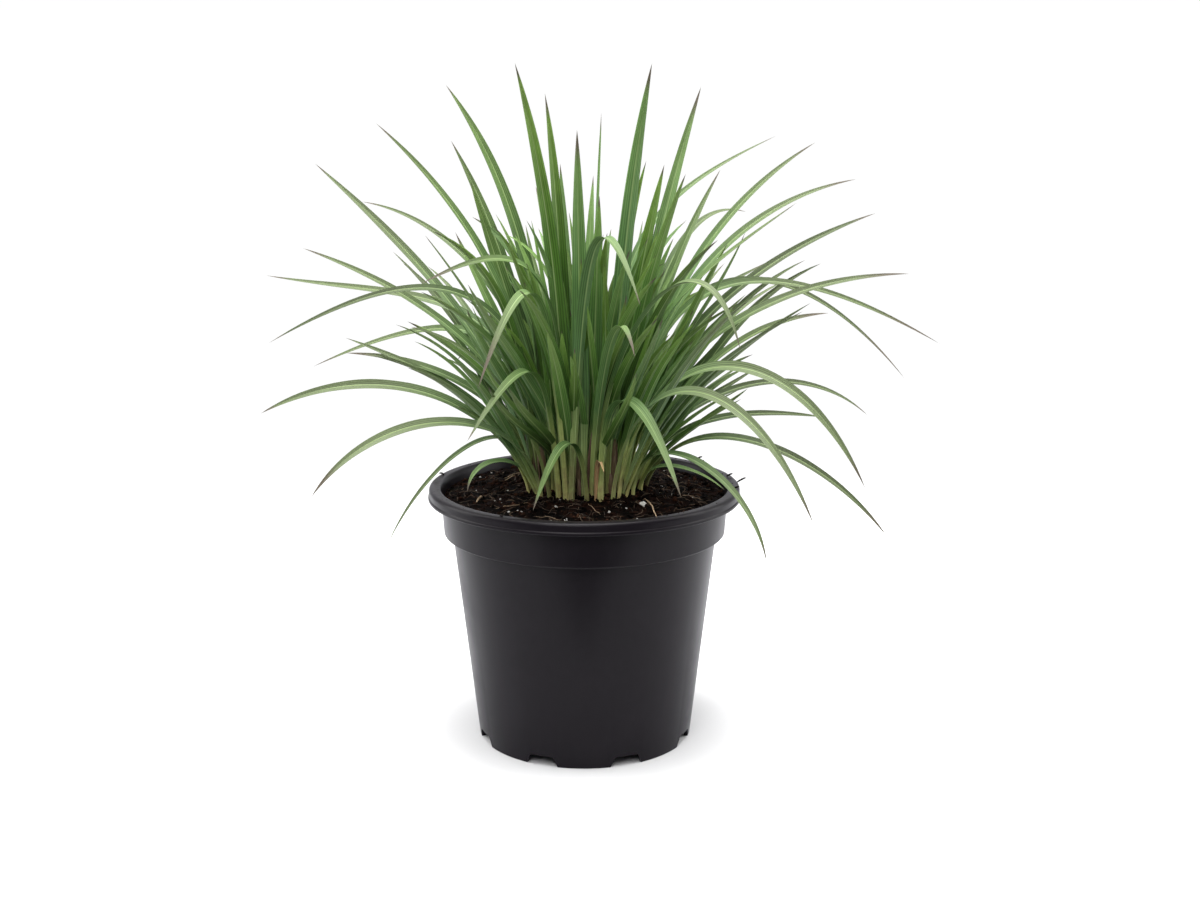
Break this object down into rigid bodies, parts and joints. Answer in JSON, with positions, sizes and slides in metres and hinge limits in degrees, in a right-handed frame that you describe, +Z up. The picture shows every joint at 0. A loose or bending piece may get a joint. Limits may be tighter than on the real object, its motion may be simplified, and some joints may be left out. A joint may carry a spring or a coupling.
{
  "type": "potted ornamental grass clump",
  "caption": "Clump of arching strap-shaped grass leaves growing from dark potting soil in a round, stepped nursery pot that stands on its notched foot.",
  "frame": {"origin": "on the pot's axis, in the plane that its foot stands on; the middle of the overall box is within 2 mm of that axis", "axes": "+Z up along the pot's axis, +X to the right seen from the front, -Y towards the front"},
  "size_m": [0.4258, 0.3244, 0.412],
  "materials": {
    "black_plastic": "satin charcoal-black injection-moulded polypropylene, slightly scuffed",
    "potting_soil": "matte, rough dark peat with fibres, bark crumbs and white perlite grains",
    "young_leaves": "close-packed upright blades, satin, finely veined along their length",
    "green_leaf": "satin green blade with fine parallel veins, paler midrib, yellow-purple sheath and brown tip",
    "dry_leaf_straw": "matte papery dried blade"
  },
  "bodies": {
    "root": {"pot": "black_plastic", "soil": "potting_soil", "young_leaf_tuft": "young_leaves", "upright_leaf_01": "green_leaf", "upright_leaf_02": "green_leaf", "upright_leaf_03": "green_leaf", "upright_leaf_04": "green_leaf", "upright_leaf_05": "green_leaf", "upright_leaf_06": "green_leaf", "upright_leaf_07": "green_leaf", "upright_leaf_08": "green_leaf", "upright_leaf_09": "green_leaf", "left_leaf_01": "green_leaf", "left_leaf_02": "green_leaf", "left_leaf_03": "green_leaf", "left_leaf_04": "green_leaf", "left_leaf_05": "green_leaf", "left_leaf_06": "green_leaf", "left_leaf_07": "green_leaf", "left_leaf_08": "green_leaf", "left_leaf_09": "green_leaf", "left_leaf_10": "green_leaf", "left_leaf_11": "green_leaf", "left_leaf_12": "green_leaf", "left_leaf_13": "green_leaf", "left_leaf_14": "green_leaf", "left_leaf_15": "green_leaf", "right_leaf_01": "green_leaf", "right_leaf_02": "green_leaf", "right_leaf_03": "green_leaf", "right_leaf_04": "green_leaf", "right_leaf_05": "green_leaf", "right_leaf_06": "green_leaf", "right_leaf_07": "green_leaf", "right_leaf_08": "green_leaf", "right_leaf_09": "green_leaf", "right_leaf_10": "green_leaf", "right_leaf_11": "green_leaf", "right_leaf_12": "green_leaf", "right_leaf_13": "green_leaf", "right_leaf_14": "green_leaf", "right_leaf_15": "green_leaf", "right_leaf_16": "green_leaf", "right_leaf_17": "green_leaf", "right_leaf_18": "green_leaf", "right_leaf_19": "green_leaf", "front_leaf_01": "green_leaf", "front_leaf_02": "green_leaf", "front_leaf_03": "green_leaf", "front_leaf_04": "green_leaf", "front_leaf_05": "green_leaf", "front_leaf_06": "green_leaf", "front_leaf_07": "green_leaf", "back_leaf_01": "green_leaf", "back_leaf_02": "green_leaf", "back_leaf_03": "green_leaf", "back_leaf_04": "green_leaf", "back_leaf_05": "green_leaf", "back_leaf_06": "green_leaf", "dry_leaf": "dry_leaf_straw"}
  },
  "joints": []
}
